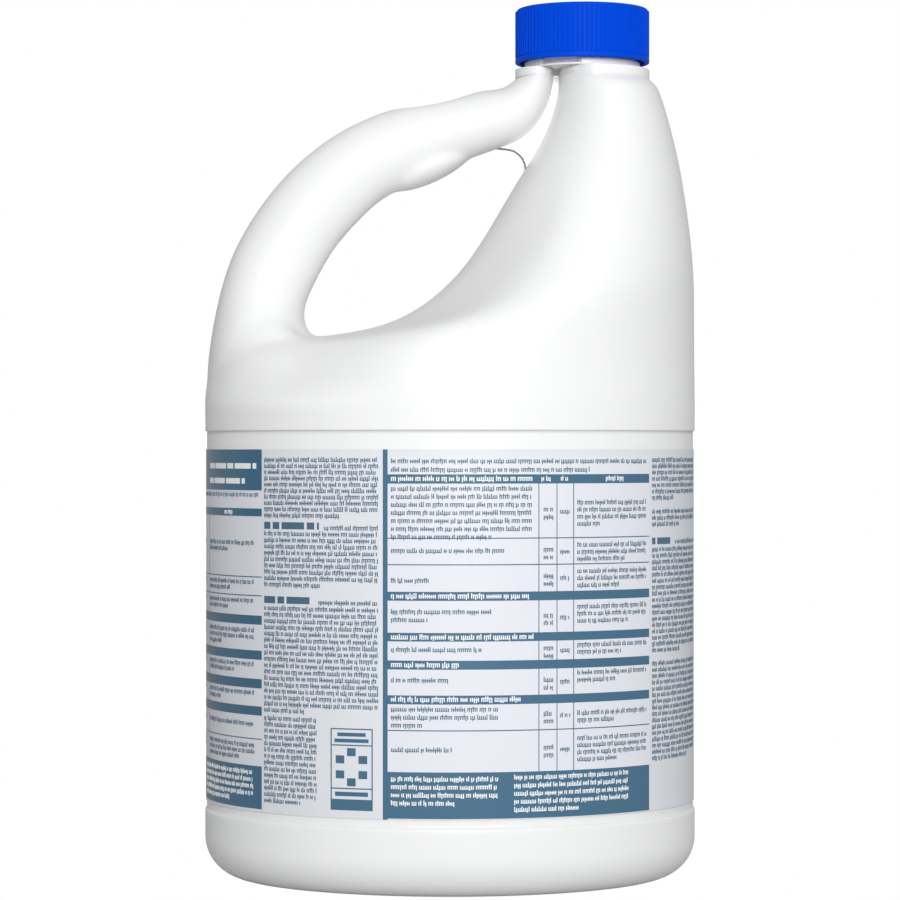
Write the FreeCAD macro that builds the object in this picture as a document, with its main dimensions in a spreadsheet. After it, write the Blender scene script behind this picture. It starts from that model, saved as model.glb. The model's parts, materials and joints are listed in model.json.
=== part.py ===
"""Jug-shaped bleach bottle: blow-moulded bottle with a hollow handle, wrap label, screw cap and cap liner.

Millimetres. +Z is up, the origin is on the standing plane under the middle of the
body, the neck is towards +X and the handle towards -X.
"""

import FreeCAD, Part

import os

import Sketcher

Vector = FreeCAD.Vector

doc = FreeCAD.newDocument("bleach_bottle")


# Driving sizes

SIZES = {
    # body of the bottle
    "body_width": 168.8,
    "body_depth": 143.5,
    "bottle_wall": 1.2,
    "heel_radius": 14.0,
    "push_up": 3.0,
    "standing_ring": 18.0,
    "shoulder_level": 158.0,
    "neck_level": 275.0,
    # label panel and label
    "panel_low": 23.5,
    "panel_high": 152.9,
    "panel_recess": 0.6,
    "label_from_low": 3.0,
    "label_from_high": 6.2,
    "label_film": 0.3,
    # neck
    "neck_axis": 45.7,
    "collar_radius": 23.2,
    "collar_height": 2.7,
    "collar_overlap": 2.2,
    "neck_radius": 18.4,
    "neck_height": 18.0,
    "neck_wall": 1.8,
    # thread
    "thread_pitch": 4.23,
    "thread_turns": 1.5,
    "thread_depth": 1.3,
    "thread_width": 1.8,
    "thread_taper": 0.45,
    "thread_root": 0.5,
    "thread_rise": 5.0,
    "thread_clearance": 0.35,
    "cap_thread_width": 1.3,
    # handle
    "grip_width": 29.0,
    "grip_depth": 29.0,
    "thumb_radius": 61.0,
    "pad_height": 2.4,
    "pad_radius": 9.0,
    "web_thickness": 0.9,
    # cap and its liner
    "cap_radius": 23.15,
    "cap_height": 18.7,
    "cap_top": 1.7,
    "cap_wall": 1.5,
    "cap_edge": 1.0,
    "rib_depth": 0.4,
    "rib_count": 90,
    "flute_share": 0.9,
    "liner_thickness": 1.2,
    "liner_clearance": 0.3,
}

sheet = doc.addObject("Spreadsheet::Sheet", "Sizes")
for row, (alias, value) in enumerate(SIZES.items(), start=1):
    sheet.set(f"A{row}", alias)
    sheet.set(f"B{row}", str(value))
    sheet.setAlias(f"B{row}", alias)
doc.recompute()


def size(alias):
    """A driving size, read back from the sheet."""
    return float(getattr(sheet, alias))


body_half = size("body_width") / 2
depth_half = size("body_depth") / 2
collar = size("collar_radius")
neck_axis = size("neck_axis")
wall = size("bottle_wall")
rise = size("neck_level") - size("shoulder_level")
NECK_TOP = "(Sizes.neck_level + Sizes.collar_height + Sizes.neck_height)"
CAP_TOP = f"({NECK_TOP} + Sizes.liner_thickness + Sizes.cap_top)"
ON_AXIS = "0"


# What every PartDesign piece needs


def plane_of(body, role):
    """One of a body's own origin planes."""
    return next(f for f in body.Origin.OriginFeatures if f.Role == role)


def new_sketch(body, name, role):
    """An empty sketch on one of the body's origin planes."""
    sketch = body.newObject("Sketcher::SketchObject", name)
    sketch.AttachmentSupport = [(plane_of(body, role), "")]
    sketch.MapMode = "FlatFace"
    return sketch


def driven_polygon(sketch, corners):
    """A closed polygon whose corners are pairs of expressions, each held by its two distances."""
    start = [Vector(i, i * i + 1, 0) for i in range(len(corners))]
    for i, here in enumerate(start):
        sketch.addGeometry(Part.LineSegment(here, start[(i + 1) % len(start)]), False)
    for i in range(len(corners)):
        sketch.addConstraint(
            Sketcher.Constraint("Coincident", i, 2, (i + 1) % len(corners), 1)
        )
    for i, corner in enumerate(corners):
        for kind, expression in zip(("DistanceX", "DistanceY"), corner):
            number = sketch.addConstraint(
                Sketcher.Constraint(kind, -1, 1, i, 1, 1.0 + i)
            )
            sketch.setExpression(f"Constraints[{number}]", expression)


# Lower body: padded ellipses, with the heel rounded


def elliptical_block(name, inset, low, high, heel=None):
    """An upright elliptical block; the inset, the levels and the heel are expressions."""
    body = doc.addObject("PartDesign::Body", name)
    outline = new_sketch(body, name + "Outline", "XY_Plane")
    outline.addGeometry(Part.Ellipse(Vector(0, 0, 0), body_half, depth_half), False)
    outline.exposeInternalGeometry(0)
    outline.addConstraint(Sketcher.Constraint("Coincident", 0, 3, -1, 1))
    outline.addConstraint(Sketcher.Constraint("Horizontal", 1))
    for edge, half, full in ((1, body_half, "width"), (2, depth_half, "depth")):
        number = outline.addConstraint(Sketcher.Constraint("Distance", edge, 2 * half))
        outline.setExpression(
            f"Constraints[{number}]", f"Sizes.body_{full} - 2 * ({inset})"
        )
    outline.setExpression("AttachmentOffset.Base.z", low)
    pad = body.newObject("PartDesign::Pad", name + "Pad")
    pad.Profile = outline
    pad.setExpression("Length", f"({high}) - ({low})")
    doc.recompute()
    if heel:
        lowest = min(
            range(len(pad.Shape.Edges)), key=lambda i: pad.Shape.Edges[i].BoundBox.ZMax
        )
        fillet = body.newObject("PartDesign::Fillet", name + "Heel")
        fillet.Base = (pad, [f"Edge{lowest + 1}"])
        fillet.setExpression("Radius", heel)
        doc.recompute()
    return body


lower_body = elliptical_block(
    "LowerBody", "0", "0", "Sizes.shoulder_level", "Sizes.heel_radius"
)
lower_hollow = elliptical_block(
    "LowerHollow",
    "Sizes.bottle_wall",
    "Sizes.push_up + Sizes.bottle_wall",
    "Sizes.shoulder_level",
    "Sizes.heel_radius - Sizes.bottle_wall",
)
push_up = elliptical_block("PushUp", "Sizes.standing_ring", "-1", "Sizes.push_up")
panel_outside = elliptical_block(
    "PanelOutside", "-2", "Sizes.panel_low", "Sizes.panel_high"
)
panel_inside = elliptical_block(
    "PanelInside", "Sizes.panel_recess", "Sizes.panel_low", "Sizes.panel_high"
)
panel_cut = doc.addObject("Part::Cut", "PanelCut")
panel_cut.Base = panel_outside
panel_cut.Tool = panel_inside


# Trunk: the shoulder that leans from the body over to the neck, lofted level by level

# Each section leans from its lower left point to its right point. The left point is given
# by its share of the way from the body's left side to the neck's axis and its share of the
# rise, the right point by its share of the way from the body's right side to the neck's
# axis and its share of the rise, and the depth by its share of the way from the collar to
# the body's own depth.
TRUNK_STATIONS = [
    ((0.0, 0.0), (0.0, 0.0), 1.0),
    ((0.0, 0.05), (0.0, 0.05), 1.0),
    ((0.018, 0.12), (0.003, 0.135), 0.985),
    ((0.095, 0.185), (0.005, 0.23), 0.955),
    ((0.226, 0.216), (0.006, 0.31), 0.905),
    ((0.372, 0.235), (0.008, 0.38), 0.84),
    ((0.495, 0.274), (0.020, 0.455), 0.755),
    ((0.595, 0.340), (0.041, 0.53), 0.655),
    ((0.680, 0.432), (0.075, 0.615), 0.545),
    ((0.749, 0.543), (0.115, 0.70), 0.43),
    ((0.810, 0.658), (0.165, 0.782), 0.315),
    ((0.864, 0.757), (0.222, 0.858), 0.21),
    ((0.911, 0.859), (0.282, 0.927), 0.12),
    ((0.935, 0.955), (0.345, 0.98), 0.05),
    ((0.937, 1.0), (0.375, 1.0), 0.015),
]


def across_left(share):
    """X at a share of the way from the body's left side to the neck's axis."""
    return -body_half + share * (body_half + neck_axis)


def across_right(share):
    """X at a share of the way from the body's right side to the neck's axis."""
    return body_half - share * (body_half - neck_axis)


def level(share):
    """Z at a share of the rise from the shoulder to the neck."""
    return size("shoulder_level") + share * rise


def ellipse_wire(centre, across, half_across, half_depth):
    """An elliptical wire about centre, half_across along the unit vector across and half_depth along Y."""
    along_depth = Vector(0, 1, 0)
    if half_across >= half_depth:
        major, minor, axis = half_across, half_depth, across
    else:
        major, minor, axis = half_depth, half_across, along_depth
    curve = Part.Ellipse(Vector(0, 0, 0), major, minor)
    wire = Part.Wire([curve.toShape()])
    normal = across.cross(along_depth)
    wire.Placement = FreeCAD.Placement(
        centre, FreeCAD.Rotation(axis, Vector(0, 0, 0), normal, "ZXY")
    )
    return wire


def lofted_up_to_collar(wires):
    """A smooth loft through the wires, with its last one carried straight up inside the collar."""
    last = wires[-1].copy()
    last.translate(Vector(0, 0, size("collar_overlap")))
    return Part.makeLoft(wires + [last], True, False)


def trunk(inset):
    """The trunk, drawn in all round by the inset."""
    wires = []
    for left, right, depth in TRUNK_STATIONS:
        low_end = Vector(across_left(left[0]), 0, level(left[1]))
        high_end = Vector(across_right(right[0]), 0, level(right[1]))
        half_across = (high_end - low_end).Length / 2 - inset
        half_depth = collar + depth * (depth_half - collar) - inset
        across = (high_end - low_end).normalize()
        middle = (low_end + high_end) / 2
        wires.append(ellipse_wire(middle, across, half_across, half_depth))
    return lofted_up_to_collar(wires)


# Handle: a hollow grip lofted along its curve from the left shoulder up under the collar

# Share of the way from the body's left side to the neck's axis, share of the rise, and
# the grip's half width and half depth as shares of the grip's own
HANDLE_STATIONS = [
    (0.175, 0.03, 1.50, 1.80),
    (0.150, 0.17, 1.27, 1.40),
    (0.146, 0.31, 1.04, 1.08),
    (0.182, 0.44, 1.02, 1.00),
    (0.249, 0.566, 1.0, 0.98),
    (0.325, 0.662, 0.985, 0.96),
    (0.425, 0.749, 0.935, 0.94),
    (0.547, 0.807, 0.905, 0.92),
    (0.638, 0.840, 0.795, 0.90),
    (0.739, 0.872, 0.72, 0.88),
    (0.813, 0.899, 0.635, 0.85),
    (0.861, 0.954, 0.50, 0.82),
    (0.879, 1.0, 0.39, 0.80),
]
# Axis of the thumb rest's arc over the grip, and the two ends of the finger pad under it,
# as the same two shares
THUMB_AXIS = (0.516, 1.430)
PAD_ENDS = [(0.483, 0.665), (0.682, 0.768)]


def thumb_rest(inset):
    """The round bar whose underside scoops the thumb rest out of the grip's top."""
    radius = size("thumb_radius") + inset
    along, share = THUMB_AXIS
    end = Vector(across_left(along), -size("grip_depth"), level(share))
    return Part.makeCylinder(radius, 2 * size("grip_depth"), end, Vector(0, 1, 0))


def finger_pad(inset):
    """The low swelling under the grip: an arc turned about a line inside the grip."""
    start, end = (Vector(across_left(a), 0, level(share)) for a, share in PAD_ENDS)
    along = (end - start).normalize()
    inward = Vector(-along.z, 0, along.x)
    start, end = start + inward * inset, end + inward * inset
    top = (start + end) / 2 - inward * size("pad_height")
    to_axis = inward * (size("pad_radius") - inset)
    sides = [
        Part.Arc(start, top, end).toShape(),
        Part.LineSegment(end, end + to_axis).toShape(),
        Part.LineSegment(end + to_axis, start + to_axis).toShape(),
        Part.LineSegment(start + to_axis, start).toShape(),
    ]
    return Part.Face(Part.Wire(sides)).revolve(start + to_axis, along, 360)


def handle(inset):
    """The grip with its thumb rest and finger pad, drawn in all round by the inset."""
    points = [
        Vector(across_left(along), 0, level(share))
        for along, share, _, _ in HANDLE_STATIONS
    ]
    wires = []
    for i, (_, _, width, depth) in enumerate(HANDLE_STATIONS):
        ahead = points[min(i + 1, len(points) - 1)] - points[max(i - 1, 0)]
        if i == len(points) - 1:
            ahead = Vector(0, 0, 1)
        across = Vector(0, 1, 0).cross(ahead).normalize()
        wires.append(
            ellipse_wire(
                points[i],
                across,
                width * size("grip_width") / 2 - inset,
                depth * size("grip_depth") / 2 - inset,
            )
        )
    grip = lofted_up_to_collar(wires)
    return grip.fuse(finger_pad(inset)).cut(thumb_rest(inset))


def web():
    """The thin sheet left in the parting plane between the grip's end and the trunk."""
    corners = [
        (0.79, 0.785),
        (0.835, 0.78),
        (0.862, 0.73),
        (0.93, 0.88),
        (0.93, 1.0),
        (0.87, 1.0),
        (0.83, 0.92),
        (0.77, 0.86),
    ]
    points = [
        Vector(across_left(along), -size("web_thickness") / 2, level(share))
        for along, share in corners
    ]
    face = Part.Face(Part.makePolygon(points + points[:1]))
    return face.extrude(Vector(0, size("web_thickness"), 0))


def solid_feature(name, shape):
    """A document object for a shape that no workbench feature makes."""
    feature = doc.addObject("Part::Feature", name)
    feature.Shape = shape
    return feature


trunk_outside = solid_feature("TrunkOutside", trunk(0))
trunk_hollow = solid_feature("TrunkHollow", trunk(wall))
handle_outside = solid_feature("HandleOutside", handle(0))
handle_hollow = solid_feature("HandleHollow", handle(wall))
handle_web = solid_feature("HandleWeb", web())


# Neck: turned profile with the collar that the cap stops above


def turned_body(name, corners):
    """A body turned about the neck's axis from radius and level expressions."""
    body = doc.addObject("PartDesign::Body", name)
    profile = new_sketch(body, name + "Profile", "XZ_Plane")
    driven_polygon(profile, corners)
    turn = body.newObject("PartDesign::Revolution", name + "Turn")
    turn.Profile = profile
    turn.ReferenceAxis = (profile, ["V_Axis"])
    turn.Angle = 360
    body.setExpression("Placement.Base.x", "Sizes.neck_axis")
    return body


COLLAR_TOP = "Sizes.neck_level + Sizes.collar_height"
NECK_BORE = "Sizes.neck_radius - Sizes.neck_wall"
neck_outside = turned_body(
    "NeckOutside",
    [
        (ON_AXIS, "Sizes.neck_level"),
        ("Sizes.collar_radius", "Sizes.neck_level"),
        ("Sizes.collar_radius", COLLAR_TOP),
        ("Sizes.neck_radius + 1", f"{COLLAR_TOP} + 1"),
        ("Sizes.neck_radius", f"{COLLAR_TOP} + 1"),
        ("Sizes.neck_radius", NECK_TOP),
        (ON_AXIS, NECK_TOP),
    ],
)
neck_hollow = turned_body(
    "NeckHollow",
    [
        (ON_AXIS, "Sizes.neck_level + Sizes.bottle_wall"),
        (NECK_BORE, "Sizes.neck_level + Sizes.bottle_wall"),
        (NECK_BORE, f"{NECK_TOP} + 1"),
        (ON_AXIS, f"{NECK_TOP} + 1"),
    ],
)


# Threads: one swept ridge on the neck and one in the cap, both on the same pitch


def thread_ridge(name, inner, outer, half_width, start):
    """A ridge of trapezoid section swept along the neck's helix; all four are expressions."""
    path = doc.addObject("Part::Helix", name + "Path")
    path.setExpression("Pitch", "Sizes.thread_pitch")
    path.setExpression("Height", "Sizes.thread_pitch * Sizes.thread_turns")
    path.setExpression("Radius", inner)
    path.setExpression("Placement.Base.x", "Sizes.neck_axis")
    path.setExpression("Placement.Base.z", start)
    section = doc.addObject("Sketcher::SketchObject", name + "Section")
    section.Placement = FreeCAD.Placement(
        Vector(0, 0, 0), FreeCAD.Rotation(Vector(1, 0, 0), 90)
    )
    section.setExpression("Placement.Base.x", "Sizes.neck_axis")
    section.setExpression("Placement.Base.z", start)
    tip = f"{half_width} * Sizes.thread_taper"
    driven_polygon(
        section,
        [
            (inner, f"0 - ({half_width})"),
            (outer, f"0 - ({tip})"),
            (outer, tip),
            (inner, half_width),
        ],
    )
    ridge = doc.addObject("Part::Sweep", name)
    ridge.Sections = [section]
    ridge.Spine = (path, [])
    ridge.Solid = True
    ridge.Frenet = True
    return ridge


THREAD_START = (
    f"{NECK_TOP} - Sizes.thread_rise - Sizes.thread_pitch * Sizes.thread_turns"
)
neck_thread = thread_ridge(
    "NeckThread",
    "Sizes.neck_radius - Sizes.thread_root",
    "Sizes.neck_radius + Sizes.thread_depth",
    "Sizes.thread_width / 2",
    THREAD_START,
)


# Bottle: everything outside joined, everything hollow taken away

bottle_outside = doc.addObject("Part::MultiFuse", "BottleOutside")
bottle_outside.Shapes = [
    lower_body,
    trunk_outside,
    handle_outside,
    handle_web,
    neck_outside,
    neck_thread,
]
bottle_hollow = doc.addObject("Part::MultiFuse", "BottleHollow")
bottle_hollow.Shapes = [lower_hollow, trunk_hollow, handle_hollow, neck_hollow]
bottle_cuts = doc.addObject("Part::MultiFuse", "BottleCuts")
bottle_cuts.Shapes = [push_up, panel_cut]
bottle_blank = doc.addObject("Part::Cut", "BottleBlank")
bottle_blank.Base = bottle_outside
bottle_blank.Tool = bottle_hollow
bottle = doc.addObject("Part::Cut", "Bottle")
bottle.Base = bottle_blank
bottle.Tool = bottle_cuts
bottle.Label = "bottle"


# Label: one printed film wrapped round the panel

LABEL_LOW = "Sizes.panel_low + Sizes.label_from_low"
LABEL_HIGH = "Sizes.panel_high - Sizes.label_from_high"
label_outside = elliptical_block(
    "LabelOutside",
    "Sizes.panel_recess - Sizes.label_film",
    LABEL_LOW,
    LABEL_HIGH,
)
label_inside = elliptical_block(
    "LabelInside",
    "Sizes.panel_recess",
    LABEL_LOW,
    LABEL_HIGH,
)
label = doc.addObject("Part::Cut", "WrapLabel")
label.Base = label_outside
label.Tool = label_inside
label.Label = "label"


# Cap liner: a foam disc that the neck's rim seals against

LINER_RADIUS = "Sizes.cap_radius - Sizes.cap_wall - Sizes.liner_clearance"
cap_liner = turned_body(
    "CapLiner",
    [
        (ON_AXIS, NECK_TOP),
        (LINER_RADIUS, NECK_TOP),
        (LINER_RADIUS, f"{NECK_TOP} + Sizes.liner_thickness"),
        (ON_AXIS, f"{NECK_TOP} + Sizes.liner_thickness"),
    ],
)
cap_liner.Label = "cap_liner"


# Cap: a moulded cup with fine upright ribs outside and the thread inside

CAP_RIM = f"({CAP_TOP} - Sizes.cap_height)"
CAP_BORE = "(Sizes.cap_radius - Sizes.cap_wall)"
cap_cup = turned_body(
    "CapCup",
    [
        (ON_AXIS, f"{CAP_TOP} - Sizes.cap_top"),
        (CAP_BORE, f"{CAP_TOP} - Sizes.cap_top"),
        (CAP_BORE, CAP_RIM),
        ("Sizes.cap_radius", CAP_RIM),
        ("Sizes.cap_radius", f"{CAP_TOP} - Sizes.cap_edge"),
        ("Sizes.cap_radius - Sizes.cap_edge", CAP_TOP),
        (ON_AXIS, CAP_TOP),
    ],
)
doc.recompute()
flute = new_sketch(cap_cup, "CapFlute", "XY_Plane")
flute.setExpression("AttachmentOffset.Base.z", f"{CAP_RIM} + Sizes.cap_edge")
flute_spread = "Sizes.cap_radius * tan(180 deg / Sizes.rib_count) * Sizes.flute_share"
driven_polygon(
    flute,
    [
        ("Sizes.cap_radius - Sizes.rib_depth", "0"),
        ("Sizes.cap_radius + Sizes.rib_depth", f"0 - 2 * {flute_spread}"),
        ("Sizes.cap_radius + Sizes.rib_depth", f"2 * {flute_spread}"),
    ],
)
flute_cut = cap_cup.newObject("PartDesign::Pocket", "CapFluteCut")
flute_cut.Profile = flute
flute_cut.Reversed = True
flute_cut.setExpression("Length", "Sizes.cap_height")
doc.recompute()
flutes = cap_cup.newObject("PartDesign::PolarPattern", "CapFlutes")
flutes.Originals = [flute_cut]
flutes.Axis = (flute, ["N_Axis"])
flutes.Angle = 360
flutes.setExpression("Occurrences", "Sizes.rib_count")
cap_cup.Tip = flutes
doc.recompute()

cap_thread = thread_ridge(
    "CapThread",
    f"{CAP_BORE} + Sizes.thread_root",
    "Sizes.neck_radius + Sizes.thread_clearance",
    "Sizes.cap_thread_width / 2",
    f"{THREAD_START} - (Sizes.thread_width + Sizes.cap_thread_width) / 2 - Sizes.thread_clearance / 2",
)
cap = doc.addObject("Part::MultiFuse", "Cap")
cap.Shapes = [cap_cup, cap_thread]
cap.Refine = False
cap.Label = "cap"

doc.recompute()


# Every object is sound, and each piece goes to its own file

for item in doc.Objects:
    if any(word in item.State for word in ("Invalid", "Error")):
        raise RuntimeError(f"{item.Name} failed: {item.State}")

os.makedirs("parts", exist_ok=True)
for piece in (bottle, label, cap_liner, cap):
    shape = piece.Shape
    if shape.isNull() or not shape.isValid() or len(shape.Solids) != 1:
        raise RuntimeError(f"{piece.Label} has no sound shape")
    shape.exportStep(f"parts/{piece.Label}.step")
    print(f"{piece.Label}: {shape.Volume / 1000:.1f} cm3, {len(shape.Faces)} faces")
print(f"brimful {bottle_hollow.Shape.Volume / 1e6:.3f} litres")
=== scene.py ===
"""Looks of a white blow-moulded bleach jug with a wrap label and a ribbed blue screw cap."""

import json
import math
import random

import bmesh
import bpy
import mathutils
import numpy as np
import openvdb
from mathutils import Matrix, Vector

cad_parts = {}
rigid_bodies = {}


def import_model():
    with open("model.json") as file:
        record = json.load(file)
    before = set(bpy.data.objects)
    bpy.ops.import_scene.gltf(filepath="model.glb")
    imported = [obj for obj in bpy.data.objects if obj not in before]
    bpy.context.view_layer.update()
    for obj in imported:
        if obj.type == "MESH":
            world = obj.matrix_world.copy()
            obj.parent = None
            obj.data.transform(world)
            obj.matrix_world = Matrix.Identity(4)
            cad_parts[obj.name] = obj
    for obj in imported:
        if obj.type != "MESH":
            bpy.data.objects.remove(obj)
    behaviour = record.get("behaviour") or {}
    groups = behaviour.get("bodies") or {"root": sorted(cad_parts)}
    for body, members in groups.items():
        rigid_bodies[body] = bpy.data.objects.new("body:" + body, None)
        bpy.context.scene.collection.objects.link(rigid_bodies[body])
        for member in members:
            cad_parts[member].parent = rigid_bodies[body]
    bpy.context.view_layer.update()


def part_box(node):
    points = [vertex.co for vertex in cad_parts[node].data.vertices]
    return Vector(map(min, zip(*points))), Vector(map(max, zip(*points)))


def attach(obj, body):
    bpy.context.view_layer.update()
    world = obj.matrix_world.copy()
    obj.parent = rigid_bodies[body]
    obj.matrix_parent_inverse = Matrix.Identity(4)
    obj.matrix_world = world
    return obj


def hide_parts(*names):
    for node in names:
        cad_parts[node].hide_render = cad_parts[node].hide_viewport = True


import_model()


# Bottle shell
# The jug is one blow-moulded piece of white high-density polyethylene. Its body, leaning
# shoulder and hollow grip run into one another with wide soft blends, and the mould leaves
# a recessed panel for the label and a push-up in the base.

MM = 0.001
bottle_low, bottle_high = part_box("bottle")
BODY_HALF = (bottle_high[0] - bottle_low[0]) / 2 / MM
DEPTH_HALF = (bottle_high[1] - bottle_low[1]) / 2 / MM
cap_low, cap_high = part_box("cap")
NECK_AXIS = (cap_low[0] + cap_high[0]) / 2 / MM
COLLAR_RADIUS = 23.2
SHOULDER_LEVEL = 158.0
NECK_LEVEL = 275.0
GRIP_HALF = 14.5
SHELL_WALL = 1.2
SHELL_STEP = 1.75

# Leaning sections of the trunk: shares of the way for the left point, for the right
# point and for the depth, from the body (0 or 1) to the neck
TRUNK_SECTIONS = [
    ((0.0, -0.16), (0.0, -0.16), 1.0),
    ((0.0, -0.08), (0.0, -0.08), 1.0),
    ((0.0, 0.0), (0.0, 0.0), 1.0),
    ((0.0, 0.05), (0.0, 0.05), 1.0),
    ((0.018, 0.12), (0.003, 0.135), 0.985),
    ((0.095, 0.185), (0.005, 0.23), 0.955),
    ((0.226, 0.216), (0.006, 0.31), 0.905),
    ((0.372, 0.235), (0.008, 0.38), 0.84),
    ((0.495, 0.274), (0.020, 0.455), 0.755),
    ((0.595, 0.340), (0.041, 0.53), 0.655),
    ((0.680, 0.432), (0.075, 0.615), 0.545),
    ((0.749, 0.543), (0.115, 0.70), 0.43),
    ((0.810, 0.658), (0.165, 0.782), 0.315),
    ((0.864, 0.757), (0.222, 0.858), 0.21),
    ((0.911, 0.859), (0.282, 0.927), 0.12),
    ((0.935, 0.955), (0.345, 0.98), 0.05),
    ((0.937, 1.0), (0.375, 1.0), 0.015),
    ((0.937, 1.02), (0.375, 1.02), 0.015),
]
# Stations along the grip: share of the way from the body's left side to the neck's axis,
# share of the rise, half width and half depth as shares of the grip's own
GRIP_STATIONS = [
    (0.175, 0.03, 1.56, 1.85),
    (0.150, 0.17, 1.30, 1.90),
    (0.146, 0.31, 1.04, 1.38),
    (0.182, 0.44, 1.02, 1.05),
    (0.249, 0.566, 1.0, 0.98),
    (0.325, 0.662, 0.985, 0.96),
    (0.425, 0.749, 0.935, 0.94),
    (0.547, 0.807, 0.905, 0.92),
    (0.638, 0.840, 0.795, 0.90),
    (0.739, 0.872, 0.72, 0.88),
    (0.813, 0.899, 0.635, 0.85),
    (0.861, 0.954, 0.50, 0.86),
    (0.879, 1.0, 0.40, 0.95),
    (0.879, 1.02, 0.40, 0.95),
]


def across_left(share):
    """X at a share of the way from the body's left side to the neck's axis."""
    return -BODY_HALF + share * (BODY_HALF + NECK_AXIS)


def across_right(share):
    """X at a share of the way from the body's right side to the neck's axis."""
    return BODY_HALF - share * (BODY_HALF - NECK_AXIS)


def level(share):
    """Z at a share of the rise from the shoulder's foot to the neck."""
    return SHOULDER_LEVEL + share * (NECK_LEVEL - SHOULDER_LEVEL)


def smooth_rows(rows, count):
    """Rows of values read along a natural cubic spline through the given rows."""
    rows = np.array(rows, float)
    n = len(rows)
    matrix = 4 * np.eye(n) + np.eye(n, k=1) + np.eye(n, k=-1)
    matrix[0, 0] = matrix[-1, -1] = 2
    pull = np.empty_like(rows)
    pull[1:-1] = 3 * (rows[2:] - rows[:-2])
    pull[0] = 3 * (rows[1] - rows[0])
    pull[-1] = 3 * (rows[-1] - rows[-2])
    slope = np.linalg.solve(matrix, pull)
    t = np.linspace(0, n - 1, count)
    i = np.minimum(t.astype(int), n - 2)
    f = (t - i)[:, None]
    a, b, da, db = rows[i], rows[i + 1], slope[i], slope[i + 1]
    return (
        a * (2 * f**3 - 3 * f**2 + 1)
        + da * (f**3 - 2 * f**2 + f)
        + b * (3 * f**2 - 2 * f**3)
        + db * (f**3 - f**2)
    )


MAP_STEP = 0.5
map_x = np.arange(-BODY_HALF - 8, BODY_HALF + 8, MAP_STEP)
map_z = np.arange(SHOULDER_LEVEL - 16, NECK_LEVEL + 8, MAP_STEP)
flat_x, flat_z = np.meshgrid(map_x, map_z, indexing="ij")


def nearest_on_path(path):
    """Where each point of the parting plane lies by a path.

    Given are its distance, the share along the nearest piece, that piece and the side.
    """
    away = np.full(flat_x.shape, 1e9)
    share, side = np.zeros(flat_x.shape), np.zeros(flat_x.shape)
    piece = np.zeros(flat_x.shape, int)
    for j, (a, b) in enumerate(zip(path[:-1], path[1:])):
        run = b - a
        dx, dz = flat_x - a[0], flat_z - a[1]
        f = np.clip((dx * run[0] + dz * run[1]) / (run @ run), 0, 1)
        here = np.hypot(dx - f * run[0], dz - f * run[1])
        near = here < away
        away[near], share[near], piece[near] = here[near], f[near], j
        side[near] = (run[0] * dz - run[1] * dx)[near]
    return away, share, piece, side


def trunk_map():
    """Offset of each point of the parting plane from its section's middle, and half sizes."""
    rows = smooth_rows(
        [
            (
                across_left(left[0]),
                level(left[1]),
                across_right(right[0]),
                level(right[1]),
                COLLAR_RADIUS + depth * (DEPTH_HALF - COLLAR_RADIUS),
            )
            for left, right, depth in TRUNK_SECTIONS
        ],
        500,
    )
    centre = (rows[:, 0:2] + rows[:, 2:4]) / 2
    across = (rows[:, 2:4] - rows[:, 0:2]) / 2
    half = np.hypot(across[:, 0], across[:, 1])
    across /= half[:, None]
    out = np.zeros((3,) + flat_x.shape)
    found = np.zeros(flat_x.shape, bool)
    above_last = None
    for j in range(len(rows)):
        dx, dz = flat_x - centre[j, 0], flat_z - centre[j, 1]
        above = dz * across[j, 0] - dx * across[j, 1]
        along = dx * across[j, 0] + dz * across[j, 1]
        if above_last is not None:
            here = ~found & (above < 0)
            f = np.clip(above_last / np.maximum(above_last - above, 1e-9), 0, 1)
            for k, (old, new) in enumerate(
                (
                    (along_last, along),
                    (half[j - 1], half[j]),
                    (rows[j - 1, 4], rows[j, 4]),
                )
            ):
                out[k][here] = (old + (new - old) * f)[here]
            found |= here
        above_last, along_last = above, along
    for k, value in enumerate((along_last, half[-1], rows[-1, 4])):
        out[k][~found] = np.broadcast_to(value, flat_x.shape)[~found]
    # Beyond the trunk's left side the nearest section counts, at the distance from that side
    away, share, j, side = nearest_on_path(rows[:, 0:2])
    beyond = side > 0
    near_half, near_depth = (
        (value[j] + (value[j + 1] - value[j]) * share)[beyond] for value in (half, rows[:, 4])
    )
    out[0][beyond] = -near_half - away[beyond]
    out[1][beyond] = near_half
    out[2][beyond] = near_depth
    return out


def grip_map():
    """Distance of each point of the parting plane from the grip's path, and half sizes."""
    rows = smooth_rows(
        [
            (across_left(t), level(s), w * GRIP_HALF, d * GRIP_HALF)
            for t, s, w, d in GRIP_STATIONS
        ],
        400,
    )
    away, share, j, _ = nearest_on_path(rows[:, :2])
    sizes = [value[j] + (value[j + 1] - value[j]) * share for value in (rows[:, 2], rows[:, 3])]
    return np.stack([away] + sizes)


# The maps are softened over about a millimetre, so that their cells don't show as steps
flat_maps = np.concatenate([trunk_map(), grip_map()])
for axis in (1, 2) * 8:
    flat_maps = (np.roll(flat_maps, 1, axis) + 2 * flat_maps + np.roll(flat_maps, -1, axis)) / 4


def read_maps(x, z):
    """The six mapped values at points of the parting plane."""
    gx = np.clip((x - map_x[0]) / MAP_STEP, 0, len(map_x) - 1.001)
    gz = np.clip((z - map_z[0]) / MAP_STEP, 0, len(map_z) - 1.001)
    i, j = gx.astype(int), gz.astype(int)
    u, v = gx - i, gz - j
    return (
        flat_maps[:, i, j] * (1 - u) * (1 - v)
        + flat_maps[:, i + 1, j] * u * (1 - v)
        + flat_maps[:, i, j + 1] * (1 - u) * v
        + flat_maps[:, i + 1, j + 1] * u * v
    )


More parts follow.
